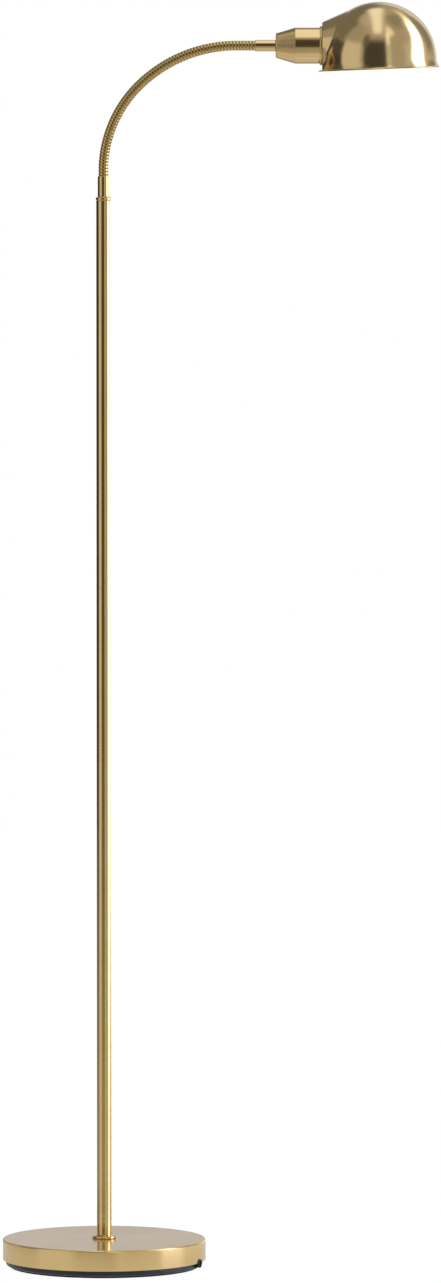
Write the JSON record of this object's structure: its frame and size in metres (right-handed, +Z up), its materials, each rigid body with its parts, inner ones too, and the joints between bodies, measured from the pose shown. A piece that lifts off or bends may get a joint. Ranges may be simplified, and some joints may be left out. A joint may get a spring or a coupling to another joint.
{
  "type": "gooseneck reading floor lamp",
  "caption": "Gooseneck reading floor lamp: domed metal shade on a ribbed, bendable neck above a slim straight pole and a weighted round base.",
  "frame": {"origin": "middle of the base, on the floor", "axes": "+Z up along the pole, the shade reaches towards +X"},
  "size_m": [0.4831, 0.225, 1.4002],
  "materials": {
    "polished_brass": "polished and lacquered brass",
    "satin_brass": "satin brass, lacquered",
    "gooseneck_brass": "polished brass-plated ribbed hose",
    "plain_brass": "plain drawn brass",
    "plated_steel": "zinc-plated steel",
    "black_iron": "cast iron, painted black",
    "black_rubber": "matt rubber",
    "black_moulding": "moulded thermoset, semi-gloss",
    "opal_glass": "opal coated inside",
    "black_glass": "dark vitrite"
  },
  "bodies": {
    "stand": {"floor_pad": "black_rubber", "base_weight": "black_iron", "base_cover": "polished_brass", "inlet_grommet": "black_rubber", "foot_collar": "polished_brass", "foot_nipple": "plated_steel", "foot_washers": "plated_steel", "foot_nut": "plated_steel", "pole_section_1": "polished_brass", "pole_section_2": "polished_brass", "pole_section_3": "polished_brass", "pole_inserts": "plain_brass", "pole_studs": "plated_steel", "pole_cap": "polished_brass", "lower_ferrule": "polished_brass", "neck_link_00": "gooseneck_brass"},
    "link_01": {"neck_link_01": "gooseneck_brass"},
    "link_02": {"neck_link_02": "gooseneck_brass"},
    "link_03": {"neck_link_03": "gooseneck_brass"},
    "link_04": {"neck_link_04": "gooseneck_brass"},
    "link_05": {"neck_link_05": "gooseneck_brass"},
    "link_06": {"neck_link_06": "gooseneck_brass"},
    "link_07": {"neck_link_07": "gooseneck_brass"},
    "link_08": {"neck_link_08": "gooseneck_brass"},
    "link_09": {"neck_link_09": "gooseneck_brass"},
    "link_10": {"neck_link_10": "gooseneck_brass"},
    "link_11": {"neck_link_11": "gooseneck_brass"},
    "head": {"neck_link_12": "gooseneck_brass", "upper_ferrule": "polished_brass", "socket_cup": "polished_brass", "cup_washer": "plated_steel", "cup_nut": "plated_steel", "holder_cap": "black_moulding", "holder_body": "black_moulding", "terminal_block": "black_moulding", "terminal_screws": "plated_steel", "screw_shell": "plain_brass", "holder_contacts": "plain_brass", "disc_ring": "polished_brass", "clamp_ring": "black_moulding", "bulb_globe": "opal_glass", "bulb_cap": "plain_brass", "bulb_insulator": "black_glass", "bulb_contact": "plain_brass", "shade": "satin_brass"}
  },
  "joints": [
    {"name": "bend_1", "type": "hinge", "parent": "stand", "child": "link_01", "pos_m": [0, 0, 1.21573], "axis": [0, 1, 0], "range_deg": [-15, 15]},
    {"name": "sway_1", "type": "hinge", "parent": "link_01", "child": "link_02", "pos_m": [0.00188, 0, 1.237], "axis": [0.9856, 0, -0.1691], "range_deg": [-15, 15]},
    {"name": "bend_2", "type": "hinge", "parent": "link_02", "child": "link_03", "pos_m": [0.0072, 0, 1.25768], "axis": [0, 1, 0], "range_deg": [-15, 15]},
    {"name": "sway_2", "type": "hinge", "parent": "link_03", "child": "link_04", "pos_m": [0.01582, 0, 1.27723], "axis": [0.879, 0, -0.4769], "range_deg": [-15, 15]},
    {"name": "bend_3", "type": "hinge", "parent": "link_04", "child": "link_05", "pos_m": [0.0275, 0, 1.2951], "axis": [0, 1, 0], "range_deg": [-15, 15]},
    {"name": "sway_3", "type": "hinge", "parent": "link_05", "child": "link_06", "pos_m": [0.04193, 0, 1.31085], "axis": [0.6832, 0, -0.7302], "range_deg": [-15, 15]},
    {"name": "bend_4", "type": "hinge", "parent": "link_06", "child": "link_07", "pos_m": [0.05851, 0, 1.32432], "axis": [0, 1, 0], "range_deg": [-15, 15]},
    {"name": "sway_4", "type": "hinge", "parent": "link_07", "child": "link_08", "pos_m": [0.07681, 0, 1.33535], "axis": [0.4551, 0, -0.8904], "range_deg": [-15, 15]},
    {"name": "bend_5", "type": "hinge", "parent": "link_08", "child": "link_09", "pos_m": [0.09646, 0, 1.34372], "axis": [0, 1, 0], "range_deg": [-15, 15]},
    {"name": "sway_5", "type": "hinge", "parent": "link_09", "child": "link_10", "pos_m": [0.11709, 0, 1.34927], "axis": [0.1917, 0, -0.9815], "range_deg": [-15, 15]},
    {"name": "bend_6", "type": "hinge", "parent": "link_10", "child": "link_11", "pos_m": [0.13829, 0, 1.35189], "axis": [0, 1, 0], "range_deg": [-15, 15]},
    {"name": "sway_6", "type": "hinge", "parent": "link_11", "child": "head", "pos_m": [0.15967, 0, 1.3521], "axis": [0, 0, -1], "range_deg": [-15, 15]}
  ]
}
